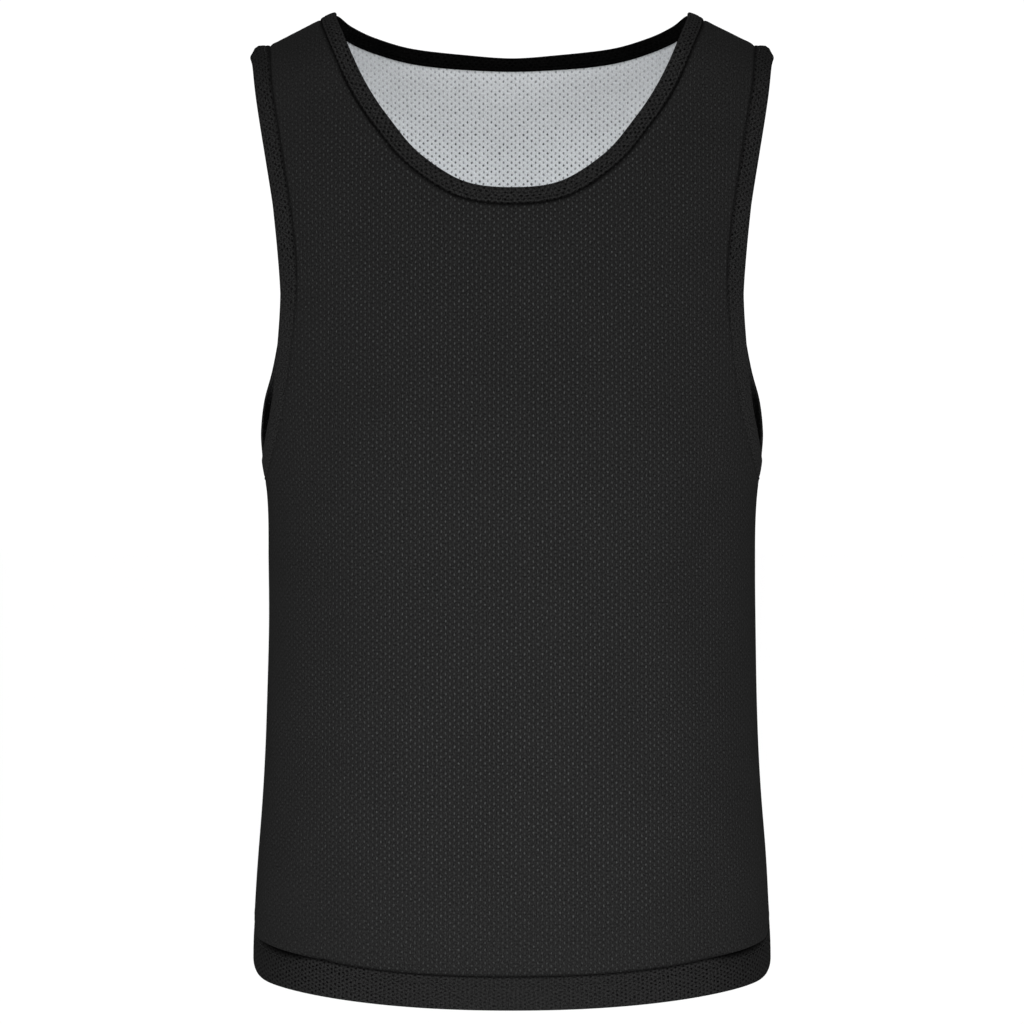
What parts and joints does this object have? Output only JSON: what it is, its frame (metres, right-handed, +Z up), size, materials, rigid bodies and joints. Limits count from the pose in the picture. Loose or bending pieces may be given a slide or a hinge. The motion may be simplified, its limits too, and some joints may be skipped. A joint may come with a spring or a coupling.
{
  "type": "reversible training bib",
  "caption": "Sleeveless reversible mesh training bib, filled out as worn: black knitted mesh over a pale grey mesh lining, with folded black bands at the neck, armholes and hem.",
  "frame": {"origin": "on the midline of the garment, level with the tops of the shoulders, halfway between front and back at the shoulder seams, where the wearer's shoulders hold it up", "axes": "+Z up, -Y towards the front of the bib, +X towards the right of someone who faces its front"},
  "size_m": [0.3746, 0.2353, 0.6987],
  "materials": {
    "black_mesh": "knitted polyester eyelet mesh, matt with a faint sheen",
    "pale_mesh": "knitted polyester eyelet mesh, matt",
    "black_band": "knitted polyester mesh, folded double"
  },
  "bodies": {
    "root": {"outer_front": "black_mesh", "outer_back": "black_mesh", "lining_front": "pale_mesh", "lining_back": "pale_mesh", "neck_band": "black_band", "armhole_band_left": "black_band", "armhole_band_right": "black_band", "hem_band": "black_band"}
  },
  "joints": []
}
